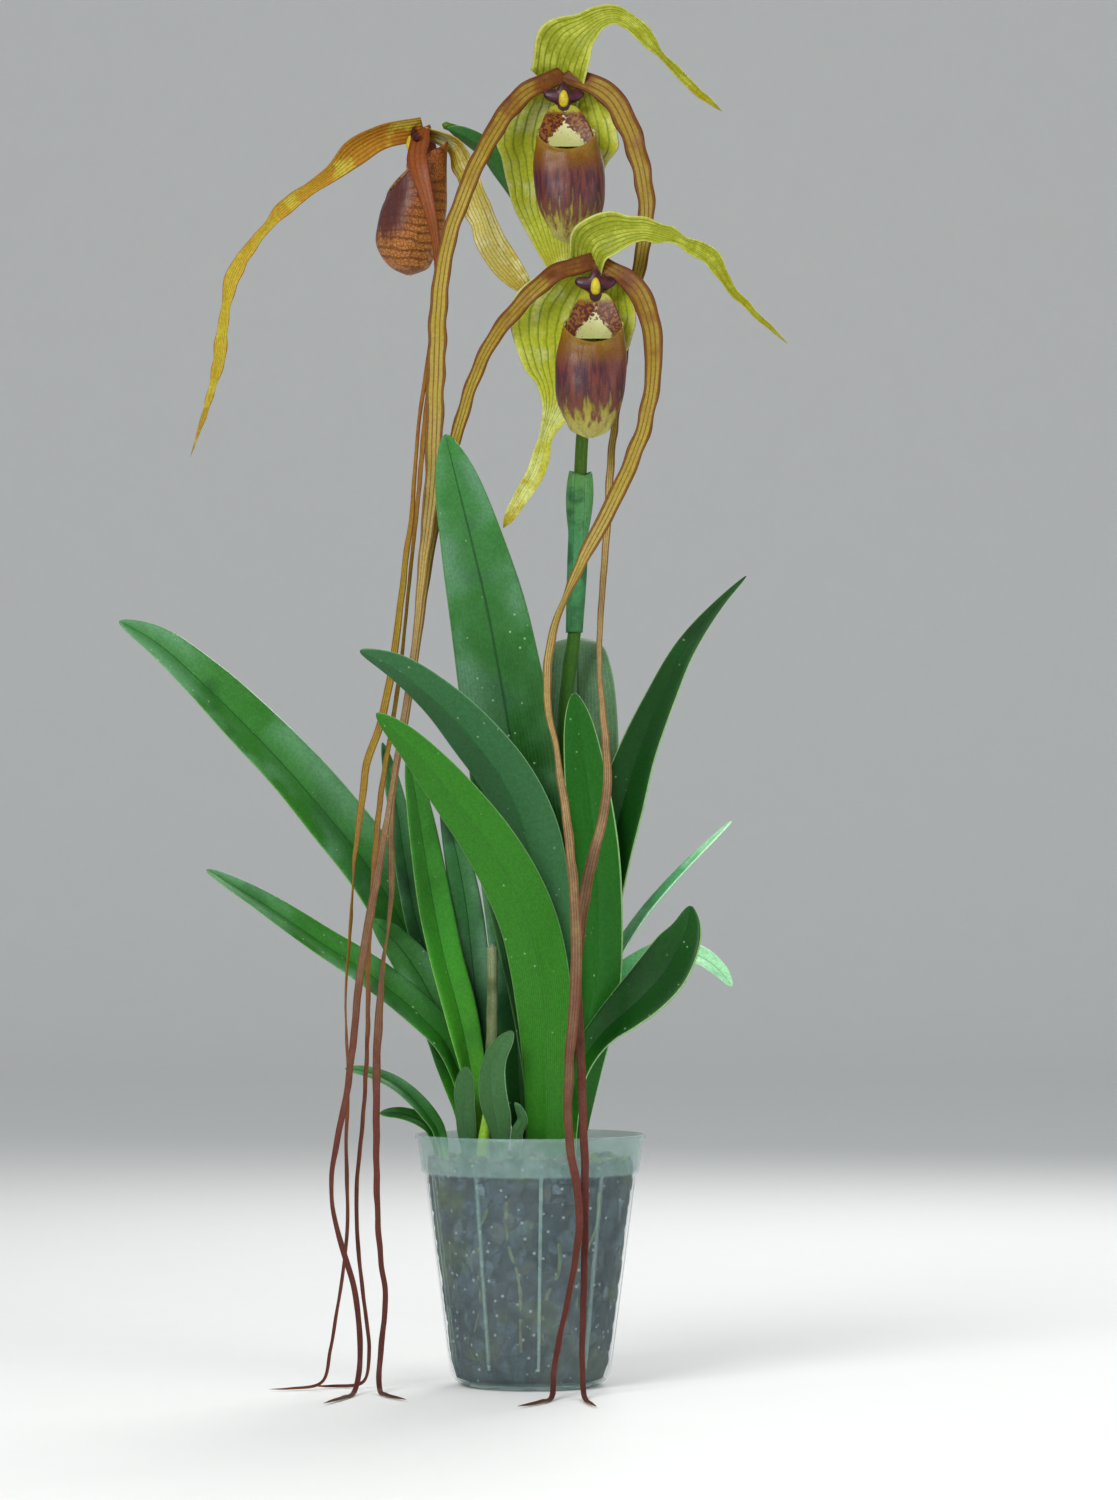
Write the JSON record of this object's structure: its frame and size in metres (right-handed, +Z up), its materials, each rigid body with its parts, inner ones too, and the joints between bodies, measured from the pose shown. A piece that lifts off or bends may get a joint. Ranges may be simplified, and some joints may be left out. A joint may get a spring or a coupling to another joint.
{
  "type": "potted slipper orchid",
  "caption": "Slipper orchid in flower in a clear plastic nursery pot, with strap leaves and long ribbon petals that hang to the table.",
  "frame": {"origin": "the middle of the pot's underside, on the surface it stands on", "axes": "+Z up, -Y towards the front that the two nearer flowers face, +X to the right seen from the front"},
  "size_m": [0.354, 0.181, 0.7281],
  "materials": {
    "pot": "thin clear plastic, slightly clouded, a frosted band under the rim",
    "mix": "damp bark and fibre with green moss at the top",
    "root": "matt grey-green root skin",
    "leaf": "smooth, slightly waxy leaf with a keel",
    "leaf_young": "grey-green young leaf",
    "shoot": "pale yellow-green new shoot",
    "stem": "fresh green, finely hairy",
    "bract": "grey-green papery sheath",
    "old_stalk": "dry straw-coloured cut stalk",
    "dorsal_sepal": "yellow-green with darker lengthwise veins and a pale waved edge",
    "synsepal": "pale yellow-green with dark green lengthwise veins",
    "petal": "brown-orange ribbon with a yellow-green stripe, maroon towards its tip",
    "pouch": "glossy maroon and purple-brown with veins, a cream spotted mouth and a yellow-green toe",
    "column": "yellow knob on a maroon shield"
  },
  "bodies": {
    "root": {"pot": "pot", "potting_mix": "mix", "root_1": "root", "root_2": "root", "root_3": "root", "root_4": "root", "root_5": "root", "root_6": "root", "leaf_tall": "leaf", "leaf_arching_upper": "leaf", "leaf_front": "leaf", "leaf_right_tall": "leaf", "leaf_behind_stem": "leaf", "leaf_before_stem": "leaf", "leaf_right_broad": "leaf", "leaf_right_narrow": "leaf", "leaf_right_drooping": "leaf", "leaf_shaded": "leaf", "leaf_left_upright": "leaf", "leaf_left_rear": "leaf", "leaf_left_inner": "leaf", "leaf_left_long": "leaf", "leaf_left_short": "leaf", "leaf_left_low": "leaf", "leaf_small_upper": "leaf", "leaf_small_lower": "leaf", "young_leaf_curved": "leaf_young", "young_leaf_left": "leaf_young", "young_leaf_tiny": "leaf_young", "flower_stem": "stem", "stem_sheath": "bract", "shoot": "shoot", "old_stalk": "old_stalk", "ovary_a": "stem", "bract_a": "bract", "dorsal_sepal_a": "dorsal_sepal", "synsepal_a": "synsepal", "petal_a_left": "petal", "petal_a_right": "petal", "pouch_a": "pouch", "column_a": "column", "ovary_b": "stem", "bract_b": "bract", "dorsal_sepal_b": "dorsal_sepal", "synsepal_b": "synsepal", "petal_b_left": "petal", "petal_b_right": "petal", "pouch_b": "pouch", "column_b": "column", "ovary_c": "stem", "bract_c": "bract", "dorsal_sepal_c": "dorsal_sepal", "synsepal_c": "synsepal", "petal_c_front": "petal", "petal_c_back": "petal", "pouch_c": "pouch", "column_c": "column"}
  },
  "joints": []
}
